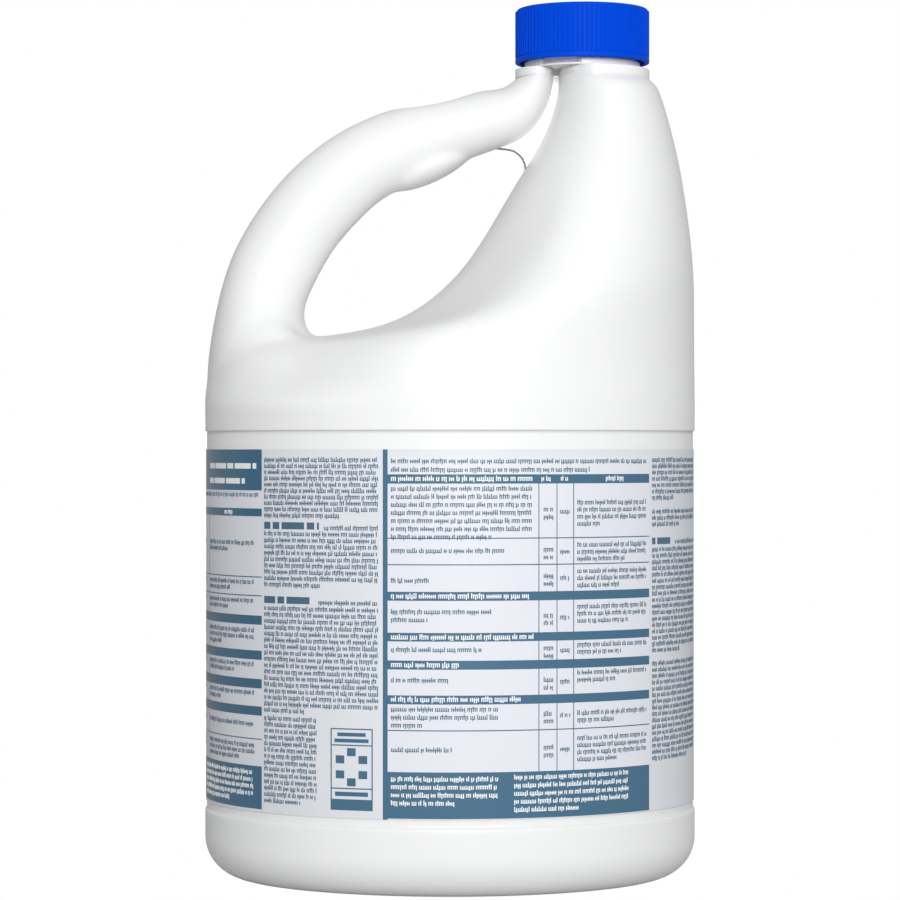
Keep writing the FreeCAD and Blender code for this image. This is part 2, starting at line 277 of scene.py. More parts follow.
def oval_distance(offsets, halves):
    """Nearly the distance from an ellipse or ellipsoid, below 0 inside."""
    k = np.sqrt(sum((o / h) ** 2 for o, h in zip(offsets, halves)))
    slope = np.sqrt(sum((o / h**2) ** 2 for o, h in zip(offsets, halves)))
    return np.where(slope > 1e-6, (k - 1) * k / np.maximum(slope, 1e-6), -20.0)


def eased(share):
    """A share kept within 0 and 1 that starts and stops gently."""
    share = np.clip(share, 0, 1)
    return share**2 * (3 - 2 * share)


def soft_union(a, b, reach):
    """The nearer of two distances, with a fillet where they are within the reach."""
    near = np.maximum(reach - np.abs(a - b), 0) / reach
    return np.minimum(a, b) - near**2 * reach / 4


# On the left the trunk's sections draw in to a pointed hip, by a share of their depth. It
# starts at a share of their half width, and comes and goes over spans of levels
HIP_DEPTH = 0.22
HIP_START, HIP_SPAN = 0.15, 0.7
HIP_LOW, HIP_LOW_SPAN = 160, 14
HIP_HIGH, HIP_HIGH_SPAN = 250, 40
# The grip meets the trunk in a tight corner, and at its foot in one wide blend, which is
# widest away from the parting plane
CORNER_BLEND = 1.0
FOOT_BLEND, FOOT_SIDE_BLEND = 6.0, 18.0
FOOT_HIGH, FOOT_HIGH_SPAN = 225, 40
FOOT_LEFT, FOOT_LEFT_SPAN = -86, 30
FOOT_SIDE, FOOT_SIDE_SPAN = 11, 16
# Under the collar the trunk stays within a cone, and meets it in a round
CONE_INSET, CONE_LIP = 0.3, 0.8
CONE_SLOPE, CONE_LENGTH = 2.5, 2.69
CONE_BLEND = 2.5
# The thumb rest is a shallow scoop in the top of the grip, and the finger pad a low
# swelling under it: each is placed by the chord that it meets the grip along
GRIP_BLEND = 0.8
THUMB_CHORD = ((-19.9, 264.3), (7.6, 269.6))
THUMB_DEPTH = 1.6
PAD_CHORD = ((-19.6, 236.0), (2.9, 246.6))
PAD_DEPTH = 1.9
PAD_SEAT = 3.6
PAD_HALF_DEPTH = 11.0


def chord_frame(chord):
    """Middle, direction and length of a chord in the parting plane."""
    (x0, z0), (x1, z1) = chord
    length = math.hypot(x1 - x0, z1 - z0)
    return ((x0 + x1) / 2, (z0 + z1) / 2), ((x1 - x0) / length, (z1 - z0) / length), length


def shell_distance(x, y, z):
    """Nearly the distance from the jug's outside above the label, below 0 inside."""
    along, half, depth, away, grip_half, grip_depth = read_maps(x, z)
    hip = eased((-along / half - HIP_START) / HIP_SPAN)
    hip *= eased((z - HIP_LOW) / HIP_LOW_SPAN) * eased((HIP_HIGH - z) / HIP_HIGH_SPAN)
    trunk = oval_distance((along, y), (half, depth * (1 - HIP_DEPTH * hip)))
    grip = oval_distance((away, y), (grip_half, grip_depth))
    fall = np.maximum(NECK_LEVEL - CONE_LIP - z, 0)
    cone = np.hypot(x - NECK_AXIS, y) - COLLAR_RADIUS + CONE_INSET - CONE_SLOPE * fall
    trunk = -soft_union(-trunk, -cone / CONE_LENGTH, CONE_BLEND)
    foot = eased((FOOT_HIGH - z) / FOOT_HIGH_SPAN) * eased((x - FOOT_LEFT) / FOOT_LEFT_SPAN)
    side = eased((np.abs(y) - FOOT_SIDE) / FOOT_SIDE_SPAN)
    body = soft_union(trunk, grip, CORNER_BLEND + foot * (FOOT_BLEND + FOOT_SIDE_BLEND * side))
    (cx, cz), (ax, az), length = chord_frame(PAD_CHORD)
    px, pz = x - cx - az * PAD_SEAT, z - cz - ax * PAD_SEAT
    pad_half = PAD_SEAT + PAD_DEPTH
    pad_reach = length / 2 / math.sqrt(1 - (PAD_SEAT / pad_half) ** 2)
    pad = oval_distance(
        (px * ax + pz * az, pz * ax - px * az, y), (pad_reach, pad_half, PAD_HALF_DEPTH)
    )
    body = soft_union(body, pad, GRIP_BLEND)
    (cx, cz), (ax, az), length = chord_frame(THUMB_CHORD)
    radius = (length / 2) ** 2 / (2 * THUMB_DEPTH) + THUMB_DEPTH / 2
    lift = radius - THUMB_DEPTH
    scoop = np.hypot(x - cx + az * lift, z - cz - ax * lift) - radius
    return -soft_union(-body, scoop, GRIP_BLEND)


# The field is kept within a band of the surface, and its points are then drawn onto the
# surface in a few short steps, by the slope over a small probe
FIELD_BAND = 5.0
SEAT_PASSES = 3
SEAT_PROBE = 0.2
SEAT_STEP = 0.6
SEAT_SLOPE = 0.3


def shell_surface():
    """Points and quads of the jug's outside above the label panel."""
    xs = np.arange(-BODY_HALF - FIELD_BAND, BODY_HALF + FIELD_BAND, SHELL_STEP)
    side_steps = math.ceil(DEPTH_HALF / SHELL_STEP) + 3
    ys = np.arange(-side_steps, side_steps + 1) * SHELL_STEP
    zs = np.arange(SHOULDER_LEVEL - 12, NECK_LEVEL + FIELD_BAND, SHELL_STEP)
    x, y, z = np.meshgrid(xs, ys, zs, indexing="ij")
    field = shell_distance(x.ravel(), y.ravel(), z.ravel()).reshape(x.shape)
    grid = openvdb.FloatGrid(FIELD_BAND)
    grid.copyFromArray(np.clip(field, -FIELD_BAND, FIELD_BAND).astype(np.float32))
    points, quads = grid.convertToQuads(isovalue=0.0)
    points = points * SHELL_STEP + np.array([xs[0], ys[0], zs[0]])
    for _ in range(SEAT_PASSES):
        here = shell_distance(*points.T)
        gradient = np.stack(
            [
                shell_distance(*(points + side).T) - shell_distance(*(points - side).T)
                for side in SEAT_PROBE * np.eye(3)
            ],
            1,
        )
        gradient /= 2 * SEAT_PROBE
        step = here / np.maximum((gradient**2).sum(1), SEAT_SLOPE)
        points = points - np.clip(step, -SEAT_STEP, SEAT_STEP)[:, None] * gradient
    return points, quads


# The body's rings, as insets and levels. The blended form ends at the two cuts
CUT_LOW = SHOULDER_LEVEL - 3.2
CUT_HIGH = NECK_LEVEL + 0.6
PANEL_HIGH = 152.9
PANEL_LOW = 23.5
PANEL_RECESS = 0.6
PANEL_SHARES = (0.01, 0.04, 0.1, 0.3, 0.5, 0.7, 0.9, 0.97, 0.99)
LEDGE_ROUND = 0.45
HEEL_RADIUS = 14.0
HEEL_RINGS = [(0.0, 21.5), (0.0, 18.0)]
STANDING_RINGS = [(16.0, 0.0), (17.2, 0.12), (18.2, 0.8), (19.0, 1.8), (20.2, 2.6)]
PUSH_UP = 3.0
PUSH_UP_INSETS = (22.0, 30.0, 45.0, 60.0, 68.0)


def corner_arc(centre, radius, start, end, steps=5):
    """Points of an arc in radius (or inset) and level, its angles in degrees."""
    turns = [math.radians(start + (end - start) * i / steps) for i in range(steps + 1)]
    return [(centre[0] + radius * math.cos(a), centre[1] + radius * math.sin(a)) for a in turns]


def body_profile():
    """Inset and level of each ring from just under the shoulder down to the base's middle."""
    ledge = LEDGE_ROUND
    return (
        [(0.0, PANEL_HIGH + 0.6)]
        + corner_arc((ledge, PANEL_HIGH + ledge), ledge, 180, 270, 3)
        + [(PANEL_RECESS, PANEL_HIGH - 0.02)]
        + [(PANEL_RECESS, PANEL_HIGH + (PANEL_LOW - PANEL_HIGH) * share) for share in PANEL_SHARES]
        + [(PANEL_RECESS, PANEL_LOW + 0.02)]
        + corner_arc((ledge, PANEL_LOW - ledge), ledge, 90, 180, 3)
        + HEEL_RINGS
        + corner_arc((HEEL_RADIUS, HEEL_RADIUS), HEEL_RADIUS, 180, 270, 14)
        + STANDING_RINGS
        + [(inset, PUSH_UP) for inset in PUSH_UP_INSETS]
    )


def shell_mesh():
    """The whole jug: blended shoulder and grip, with body and base ringed down from there."""
    points, quads = shell_surface()
    mesh = bpy.data.meshes.new("bottle_shell")
    mesh.from_pydata([tuple(p) for p in points.tolist()], [], quads.tolist())
    bm = bmesh.new()
    bm.from_mesh(mesh)
    for cut, up in ((CUT_LOW, -1), (CUT_HIGH, 1)):
        bmesh.ops.bisect_plane(
            bm,
            geom=bm.verts[:] + bm.edges[:] + bm.faces[:],
            plane_co=(0, 0, cut),
            plane_no=(0, 0, up),
            clear_outer=True,
            dist=0.02,
        )
    bmesh.ops.dissolve_degenerate(bm, dist=0.05, edges=bm.edges[:])
    rim = [e for e in bm.edges if e.is_boundary and all(v.co.z < CUT_LOW + 0.5 for v in e.verts)]
    for inset, height in body_profile():
        fresh = bmesh.ops.extrude_edge_only(bm, edges=rim)["geom"]
        rim = [g for g in fresh if isinstance(g, bmesh.types.BMEdge)]
        for v in (g for g in fresh if isinstance(g, bmesh.types.BMVert)):
            angle = math.atan2(v.co.y / DEPTH_HALF, v.co.x / BODY_HALF)
            v.co.x = (BODY_HALF - inset) * math.cos(angle)
            v.co.y = (DEPTH_HALF - inset) * math.sin(angle)
            v.co.z = height
    bmesh.ops.edgeloop_fill(bm, edges=rim)
    bmesh.ops.recalc_face_normals(bm, faces=bm.faces[:])
    bmesh.ops.scale(bm, vec=(MM, MM, MM), verts=bm.verts[:])
    bm.to_mesh(mesh)
    bm.free()
    mesh.shade_smooth()
    return mesh


SEAM_HALF = 0.00035
SEAM_HIGH = 6.0


def linear(code):
    """A hex sRGB colour as linear RGBA."""
    parts = [int(code[i : i + 2], 16) / 255 for i in (0, 2, 4)]
    return [c / 12.92 if c <= 0.04045 else ((c + 0.055) / 1.055) ** 2.4 for c in parts] + [1.0]


def add_node(tree, kind, links=(), inputs=(), **settings):
    """A node with its settings, its input values and its links from (socket, input name) pairs."""
    node = tree.nodes.new(kind)
    for name, value in settings.items():
        setattr(node, name, value)
    for name, value in dict(inputs).items():
        node.inputs[name].default_value = value
    for socket, name in links:
        tree.links.new(socket, node.inputs[name])
    return node


def plastic(name, colour, roughness, bump=0.0, grain=900.0, seam=False, depth=0.0):
    """A moulded plastic with a fine grain, and a parting line where Y is 0 if seam is set."""
    material = bpy.data.materials.new(name)
    material.use_nodes = True
    tree = material.node_tree
    shader = tree.nodes["Principled BSDF"]
    shader.inputs["Base Color"].default_value = linear(colour)
    shader.inputs["Roughness"].default_value = roughness
    shader.inputs["Subsurface Weight"].default_value = depth
    shader.inputs["Subsurface Radius"].default_value = (0.004, 0.0035, 0.003)
    shader.inputs["Subsurface Scale"].default_value = 1.0
    place = add_node(tree, "ShaderNodeTexCoord")
    noise = add_node(
        tree,
        "ShaderNodeTexNoise",
        [(place.outputs["Object"], "Vector")],
        {"Scale": grain, "Detail": 3.0},
    )
    height = noise.outputs["Fac"]
    if seam:
        parts = add_node(tree, "ShaderNodeSeparateXYZ", [(place.outputs["Object"], "Vector")])
        across = add_node(tree, "ShaderNodeMath", [(parts.outputs["Y"], 0)], operation="ABSOLUTE")
        ridge = add_node(
            tree,
            "ShaderNodeMapRange",
            [(across.outputs[0], "Value")],
            {"From Min": 0.0, "From Max": SEAM_HALF, "To Min": SEAM_HIGH, "To Max": 0.0},
            interpolation_type="SMOOTHSTEP",
        )
        total = add_node(
            tree, "ShaderNodeMath", [(ridge.outputs[0], 0), (height, 1)], operation="ADD"
        )
        height = total.outputs[0]
    relief = add_node(
        tree, "ShaderNodeBump", [(height, "Height")], {"Strength": 1.0, "Distance": bump}
    )
    tree.links.new(relief.outputs["Normal"], shader.inputs["Normal"])
    return material


def link_piece(name, mesh, material, body):
    """A finished piece in the scene, with its material, riding on its node's body."""
    piece = bpy.data.objects.new(name, mesh)
    bpy.context.collection.objects.link(piece)
    piece.data.materials.clear()
    piece.data.materials.append(material)
    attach(piece, body)
    return piece


bottle_plastic = plastic("bottle_plastic", "F2F2F1", 0.36, 0.00002, 700.0, True, 0.25)
shell = link_piece("bottle_shell", shell_mesh(), bottle_plastic, "bottle")
walls = shell.modifiers.new("wall", "SOLIDIFY")
walls.thickness = SHELL_WALL * MM
walls.offset = -1


# Collar, neck and web
# The threaded neck stands on a flat collar with a narrower terrace on it. Under the collar
# a thin web fills the slit between the end of the grip and the trunk, down to an arc with a
# rounded bead, whose dark grey is painted shade.

NECK_RADIUS = 18.4
NECK_BORE = 16.6
COLLAR_TOP = 277.7
NECK_TOP = 295.7
TERRACE_RADIUS = 19.9
TERRACE_TOP = COLLAR_TOP + 2.4
THREAD_PITCH = 4.23
THREAD_TURNS = 1.5
THREAD_STEPS = 144
THREAD_START = NECK_TOP - 5.0 - THREAD_PITCH * THREAD_TURNS
THREAD_FADE = 0.06
NECK_AROUND = 96
COLLAR_AROUND = 120


def angles_round(count):
    """Even angles once round, from 0."""
    return [2 * math.pi * i / count for i in range(count)]


def ring_quads(rings, count, closed=True):
    """Quads between rings of points, and from the last to the first if the rings close."""
    faces = []
    for j in range(rings if closed else rings - 1):
        low, high = j * count, (j + 1) % rings * count
        for i in range(count):
            n = (i + 1) % count
            faces.append((low + i, low + n, high + n, high + i))
    return faces


def capped_quads(rings, count):
    """Quads between rings of points, with a flat face at either end."""
    last = rings * count - 1
    ends = [tuple(range(count)), tuple(last - k for k in range(count))]
    return ring_quads(rings, count, closed=False) + ends


def turned(profile, count=NECK_AROUND):
    """A mesh turned about the neck's axis from radius and level pairs.

    It closes on itself, or at poles where the profile starts and ends at radius 0.
    """
    poles = profile[0][0] == 0
    rings = profile[1:-1] if poles else profile
    points = [
        (NECK_AXIS + radius * math.cos(a), radius * math.sin(a), height)
        for radius, height in rings
        for a in angles_round(count)
    ]
    faces = ring_quads(len(rings), count, closed=not poles)
    if poles:
        points += [(NECK_AXIS, 0, profile[0][1]), (NECK_AXIS, 0, profile[-1][1])]
        first, last = len(points) - 2, len(points) - 1
        base = (len(rings) - 1) * count
        for i in range(count):
            n = (i + 1) % count
            faces += [(first, i, n), (last, base + n, base + i)]
    return points, faces


def thread(root, tip, half_root, half_tip, start):
    """A trapezoid ridge wound up the neck's axis, fading out at both ends."""
    points = []
    for i in range(THREAD_STEPS + 1):
        share = i / THREAD_STEPS
        a = 2 * math.pi * THREAD_TURNS * share
        z = start + THREAD_PITCH * THREAD_TURNS * share
        fade = min(1.0, share / THREAD_FADE, (1 - share) / THREAD_FADE)
        crest = root + (tip - root) * max(fade, 0.05)
        for radius, rise in (
            (root, -half_root),
            (crest, -half_tip),
            (crest, half_tip),
            (root, half_root),
        ):
            points.append((NECK_AXIS + radius * math.cos(a), radius * math.sin(a), z + rise))
    return points, capped_quads(THREAD_STEPS + 1, 4)


def mesh_of(name, parts, sharp=None):
    """One mesh of closed parts in millimetres, flat or smooth up to a sharp angle."""
    bm = bmesh.new()
    for points, faces in parts:
        made = [bm.verts.new([c * MM for c in p]) for p in points]
        for face in faces:
            bm.faces.new([made[i] for i in face])
    bmesh.ops.recalc_face_normals(bm, faces=bm.faces[:])
    mesh = bpy.data.meshes.new(name)
    bm.to_mesh(mesh)
    bm.free()
    if sharp is not None:
        mesh.shade_smooth()
        mesh.set_sharp_from_angle(angle=math.radians(sharp))
    return mesh


def slab(outline, low, high, axis=2):
    """A flat plate: an outline of pairs, and its two levels along axis 2 (Z) or 1 (Y)."""
    points = [
        (a, b, height) if axis == 2 else (a, height, b)
        for height in (low, high)
        for a, b in outline
    ]
    return points, capped_quads(2, len(outline))


# Ovals at the collar, as middle, half width and half depth: the tops of the trunk and of
# the grip, and their mouths in the bore, with a floor between them
TRUNK_OVAL = (53.7, 16.2, 23.9)
GRIP_OVAL = (29.95, 5.8, 13.8)
TRUNK_MOUTH = (53.7, 15.0, 22.7)
GRIP_MOUTH = (30.0, 4.45, 10.4)
GRIP_HEEL = 1.6
FLOOR_RADIUS = 17.2
FLOOR_HALF = 16.4
FLOOR_STEPS = 32


def bore_floor():
    """Outline of the floor left in the neck's bore between the mouths of grip and trunk."""
    trunk_x, trunk_half_x, trunk_half_y = TRUNK_MOUTH
    grip_x, grip_half_x, grip_half_y = GRIP_MOUTH
    left, right = [], []
    for i in range(FLOOR_STEPS + 1):
        y = -FLOOR_HALF + 2 * FLOOR_HALF * i / FLOOR_STEPS
        edge = NECK_AXIS - math.sqrt(FLOOR_RADIUS**2 - y**2)
        if abs(y) < grip_half_y:
            edge = max(edge, grip_x + grip_half_x * math.sqrt(1 - (y / grip_half_y) ** 2))
        left.append((edge, y))
        right.append((trunk_x - trunk_half_x * math.sqrt(1 - (y / trunk_half_y) ** 2), y))
    return left + right[::-1]


def collar_ring(edge):
    """A ring within the trunk's oval and the collar's round, from radius and level pairs."""
    middle, half_x, half_y = TRUNK_OVAL
    shift = middle - NECK_AXIS

    def reach(angle, radius, inset):
        """How far a ray from the oval's middle runs before it leaves the round or the oval."""
        c, s = math.cos(angle), math.sin(angle)
        to_round = -shift * c + math.sqrt(max(radius**2 - (shift * s) ** 2, 0))
        to_oval = 1 / math.hypot(c / (half_x - inset), s / (half_y - inset))
        return min(to_round, to_oval)

    rings = [(radius, 0, z) for radius, z in edge]
    rings = [(NECK_BORE, SHELL_WALL, edge[0][1]), *rings, (NECK_BORE, SHELL_WALL, edge[-1][1])]
    points = []
    for radius, inset, z in rings:
        for a in angles_round(COLLAR_AROUND):
            r = reach(a, radius, inset)
            points.append((middle + r * math.cos(a), r * math.sin(a), z))
    return points, ring_quads(len(rings), COLLAR_AROUND)


def grip_end(radius):
    """Outline of the grip's end where it stands against a round of the collar."""
    middle, half_x, half_y = GRIP_OVAL
    outline = []
    for a in angles_round(72):
        x = middle + (half_x + GRIP_HEEL * max(-math.cos(a), 0)) * math.cos(a)
        y = half_y * math.sin(a)
        pull = min(1.0, radius / math.hypot(x - NECK_AXIS, y))
        outline.append((NECK_AXIS + (x - NECK_AXIS) * pull, y * pull))
    return outline


WEB_ARC = [
    (16.0, 250.9),
    (18.5, 250.6),
    (20.1, 250.5),
    (22.0, 250.0),
    (23.7, 248.9),
    (25.2, 247.3),
    (26.0, 245.4),
    (26.3, 243.4),
    (26.4, 241.0),
]
WEB_TOP = [
    (33.0, 246.0),
    (38.0, 262.0),
    (41.0, 275.5),
    (31.0, 275.5),
    (26.0, 266.0),
    (14.0, 258.0),
]
WEB_HALF = 0.45


def bead(path, radius, count=10):
    """A round bead along a path of X and Z pairs in the parting plane."""
    points = []
    for i, (x, z) in enumerate(path):
        a, b = path[max(i - 1, 0)], path[min(i + 1, len(path) - 1)]
        run = math.hypot(b[0] - a[0], b[1] - a[1])
        nx, nz = -(b[1] - a[1]) / run, (b[0] - a[0]) / run
        for t in angles_round(count):
            r = radius * math.cos(t)
            points.append((x + nx * r, radius * math.sin(t), z + nz * r))
    return points, capped_quads(len(path), count)


neck_profile = (
    [(NECK_BORE, COLLAR_TOP + 0.1)]
    + corner_arc((NECK_BORE + 0.5, NECK_TOP - 0.5), 0.5, 180, 90)
    + corner_arc((NECK_RADIUS - 0.4, NECK_TOP - 0.4), 0.4, 90, 0)
    + corner_arc((NECK_RADIUS + 0.9, COLLAR_TOP + 1.5), 0.9, 180, 270)
    + [(NECK_RADIUS + 1.3, COLLAR_TOP + 0.6), (NECK_RADIUS + 1.3, COLLAR_TOP + 0.1)]
)
neck = link_piece(
    "bottle_neck",
    mesh_of(
        "bottle_neck",
        [
            turned(neck_profile),
            thread(
                root=NECK_RADIUS - 0.5,
                tip=NECK_RADIUS + 1.3,
                half_root=0.9,
                half_tip=0.4,
                start=THREAD_START,
            ),
            collar_ring(
                corner_arc((COLLAR_RADIUS - 0.4, NECK_LEVEL - 1.4), 0.4, -90, 0)
                + corner_arc((COLLAR_RADIUS - 0.5, COLLAR_TOP - 0.5), 0.5, 0, 90)
            ),
            collar_ring(
                [(TERRACE_RADIUS, COLLAR_TOP - 0.2)]
                + corner_arc((TERRACE_RADIUS - 0.4, TERRACE_TOP - 0.4), 0.4, 0, 90)
            ),
            slab(grip_end(COLLAR_RADIUS), NECK_LEVEL - 0.2, COLLAR_TOP),
            slab(grip_end(TERRACE_RADIUS), COLLAR_TOP - 0.2, TERRACE_TOP),
            slab(bore_floor(), COLLAR_TOP + 0.1, COLLAR_TOP + 1.2),
        ],
        35,
    ),
    bottle_plastic,
    "bottle",
)
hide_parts("bottle")

# The web is thin enough to let light through. Its faint white glow is painted light that stands for
# this and keeps the web bright in the shade of the narrow slit
web_plastic_painted_glow = plastic("web_plastic_painted_glow", "F4F4F3", 0.36, 0.00002, 700.0)
web_painted_glow_shader = web_plastic_painted_glow.node_tree.nodes["Principled BSDF"]
web_painted_glow_shader.inputs["Emission Color"].default_value = (1, 1, 1, 1)
web_painted_glow_shader.inputs["Emission Strength"].default_value = 0.2
web = link_piece(
    "bottle_web",
    mesh_of("bottle_web", [slab(WEB_ARC + WEB_TOP, -WEB_HALF, WEB_HALF, axis=1)], 35),
    web_plastic_painted_glow,
    "bottle",
)
# The bead is the web's own white plastic; its dark grey colour is painted shade along the thin edge
web_edge_painted_shade = link_piece(
    "bottle_web_edge",
    mesh_of("bottle_web_edge", [bead(WEB_ARC, 0.5)], 60),
    plastic("web_edge_painted_shade", "7C7C7B", 0.4, 0.00002, 700.0),
    "bottle",
)


# Wrap label
# One printed film goes right round the panel and overlaps itself at the far right. Its
# tables, bands and columns are fields of colour, and words are plain strokes and bars.

FILM_HALF = (BODY_HALF - 0.3, DEPTH_HALF - 0.3)
FILM_THICK = 0.3
FILM_AROUND = 240
label_low, label_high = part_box("label")
FILM_LOW = label_low[2] / MM
FILM_HIGH = label_high[2] / MM
PRINT_LIFT = 0.04

# Half the film's way round, by its turn from the middle of the near side
turn = np.linspace(-math.pi, math.pi, 4001)
rates = np.hypot(FILM_HALF[0] * np.cos(turn), FILM_HALF[1] * np.sin(turn))
run_along = np.concatenate([[0], np.cumsum((rates[1:] + rates[:-1]) / 2 * np.diff(turn))])
run_along -= run_along[-1] / 2
FILM_RUN = float(run_along[-1])


def on_film(u, lift):
    """X and Y at a run along the film from the middle of the near side, lifted off its face."""
    u = (u + FILM_RUN) % (2 * FILM_RUN) - FILM_RUN
    a = float(np.interp(u, run_along, turn))
    x, y = FILM_HALF[0] * math.sin(a), -FILM_HALF[1] * math.cos(a)
    nx, ny = math.sin(a) / FILM_HALF[0], -math.cos(a) / FILM_HALF[1]
    size = math.hypot(nx, ny)
    return x + nx / size * lift, y + ny / size * lift


def film_material(name, colour):
    """Printed plastic film: one flat ink with a soft gloss."""
    return plastic(name, colour, 0.3, 0.000002, 300.0)


def patch(u0, u1, low, high, under=-0.02, over=PRINT_LIFT, longest=3.0):
    """A closed curved plate on the film, its edges levels or functions of the share along."""
    count = max(1, math.ceil((u1 - u0) / longest))
    points = []
    for i in range(count + 1):
        u = u0 + (u1 - u0) * i / count
        z0, z1 = (edge(i / count) if callable(edge) else edge for edge in (low, high))
        for lift, z in ((under, z0), (over, z0), (over, z1), (under, z1)):
            points.append((*on_film(u, lift), z))
    return points, capped_quads(count + 1, 4)


def film_band():
    """The film's closed ring."""
    section = [
        (-FILM_THICK, FILM_LOW),
        (0, FILM_LOW),
        (0, FILM_HIGH),
        (-FILM_THICK, FILM_HIGH),
    ]
    points = [
        (*on_film(-FILM_RUN + 2 * FILM_RUN * i / FILM_AROUND, lift), z)
        for i in range(FILM_AROUND)
        for lift, z in section
    ]
    return points, ring_quads(FILM_AROUND, 4)


# What is printed, in millimetres along the film from the near side's middle and up it. The
# left table goes round to the far side, and the main table has thin columns on its right
LEFT_TABLE = (-150.0, -68.2)
MAIN_TABLE = (-20.4, 73.6)
LEFT_ROWS = [(41.7, 58.5), (61.5, 67.5), (70.6, 77.0), (80.0, 88.6), (91.6, 124.5)]
MAIN_ROWS = [(42.0, 64.0), (66.9, 75.3), (78.2, 84.4), (87.2, 97.6), (100.5, 135.6)]


def cells(columns, rows):
    """Boxes where columns and rows cross, all given by their two edges."""
    return [(*column, *row) for column in columns for row in rows]


def rules(places, wide):
    """Edges of thin lines that start at the places."""
    return [(place, place + wide) for place in places]


LEFT_BANDS = [
    (133.1, FILM_HIGH),
    (124.5, 127.1),
    (88.6, 91.6),
    (77.0, 80.0),
    (67.5, 70.6),
    (58.5, 61.5),
    (27.5, 41.7),
]
MAIN_BANDS = [
    (135.6, 138.6),
    (97.6, 100.5),
    (84.4, 87.2),
    (75.3, 78.2),
    (64.0, 66.9),
    (26.9, 42.0),
]
# A boxed plain sign with a solid foot, two bars at its top and one over its foot
SIGN = (-40.1, -25.4)
SIGN_SIDES = [(-40.1, -39.7), (-25.8, -25.4)]
SIGN_LEVELS = [(55.4, 55.8), (50.1, 50.5), (36.0, 36.4), (29.1, 32.7)]
BLUE_FIELDS = [
    *cells([LEFT_TABLE], LEFT_BANDS + rules((104.2, 98.0, 50.5), 0.35)),
    (-22.0, -20.4, FILM_LOW, FILM_HIGH),
    *cells([MAIN_TABLE], MAIN_BANDS + rules((117.7, 109.1, 55.3), 0.35)),
    *cells(rules((29.2, 35.5, 41.5), 0.3), MAIN_ROWS),
    *cells(rules((-112.0, -106.5), 0.25), LEFT_ROWS),
    *cells([SIGN], SIGN_LEVELS),
    *cells(SIGN_SIDES, [(29.1, 55.8)]),
    (-37.7, -27.8, 53.2, 54.4),
    (-38.7, -26.8, 51.2, 52.4),
    (-38.5, -27.0, 33.7, 35.1),
]
# In the sign is a ring of six blocks
RING_MIDDLE = (-32.75, 43.2)
RING_HALF = (4.6, 4.9)
BLOCK_HALF = (1.5, 1.3)
for i in range(6):
    a = math.radians(60 * i + 30)
    u = RING_MIDDLE[0] + RING_HALF[0] * math.cos(a)
    z = RING_MIDDLE[1] + RING_HALF[1] * math.sin(a)
    BLUE_FIELDS.append((u - BLOCK_HALF[0], u + BLOCK_HALF[0], z - BLOCK_HALF[1], z + BLOCK_HALF[1]))
PALE_FIELDS = [(*LEFT_TABLE, 127.1, 133.1), (*MAIN_TABLE, 138.6, 144.4)]
PALE_FIELDS += cells([MAIN_TABLE], MAIN_ROWS)

# Words: their usual height and pitch, the closer pitch of small print, how many strokes a
# word has, where strokes start and end, and shares of a step from stroke to stroke
rng = random.Random(12)
WORD_HIGH = 1.2
WORD_PITCH = 2.62
FINE = 2.1
SOLID_HIGH = 2
WORD_STROKES = (2, 3, 3, 4, 5, 6, 7, 8, 9)
STROKE_ENDS = ((0, 1), (0, 1), (0, 1), (0, 0.9), (0, 1.35), (-0.3, 1))
STROKE_STEP = 1.05
STROKE_SHARE = 0.56
GAP_SHARE = 0.7
BAR_LEVELS = (0, 0.4, 0.8)
BAR_SHARE = 0.2
word_bars = {"label_blue": [], "label_white": []}


def words(ink, u0, u1, top, lines, pitch=WORD_PITCH, high=WORD_HIGH):
    """Lines of plain words: solid bars in large print, else a thin bar crossed by strokes."""
    bars = word_bars[ink]
    step = min(0.5 * high, STROKE_STEP)
    stroke = STROKE_SHARE * step
    for line in range(lines):
        z = top - pitch * (line + 1) + (pitch - high) / 2
        last = lines > 1 and line == lines - 1
        end = u0 + (u1 - u0) * rng.uniform(0.3, 0.75) if last else u1
        u = u0
        while u < end - step:
            count = min(rng.choice(WORD_STROKES), int((end - u) / step))
            if high > SOLID_HIGH:
                bars.append((u, u + count * step - stroke / 2, z + 0.1 * high, z + 0.9 * high))
                u += count * step + GAP_SHARE * step
                continue
            bar = z + rng.choice(BAR_LEVELS) * high
            bars.append((u, u + (count - 1) * step + stroke, bar, bar + BAR_SHARE * high))
            for _ in range(count):
                low, up = rng.choice(STROKE_ENDS)
                bars.append((u, u + stroke, z + low * high, z + up * high))
                u += step
            u += GAP_SHARE * step


def words_each(ink, blocks):
    """Words in each block of a list."""
    for block in blocks:
        words(ink, *block)


# Each block has its two ends along the film, its top, its count of lines, and its pitch and
# height where they aren't the usual. The draws follow this order
MAIN_START = -19.3
# Near side: the long column of small print, with two larger headings in it
words_each(
    "label_blue",
    [
        (-67.0, -23.2, 144.2, 10, 2.03),
        (-67.0, -44.0, 123.6, 1, 4.0, 2.9),
        (-42.5, -23.2, 122.2, 1),
        (-67.0, -23.2, 119.9, 9, FINE),
        (-67.0, -46.0, 99.1, 1, 4.0, 2.9),
        (-44.6, -23.2, 97.8, 1),
        (-67.0, -23.2, 95.3, 17, FINE),
        (-67.0, -45.0, 59.0, 14, FINE),
    ],
)
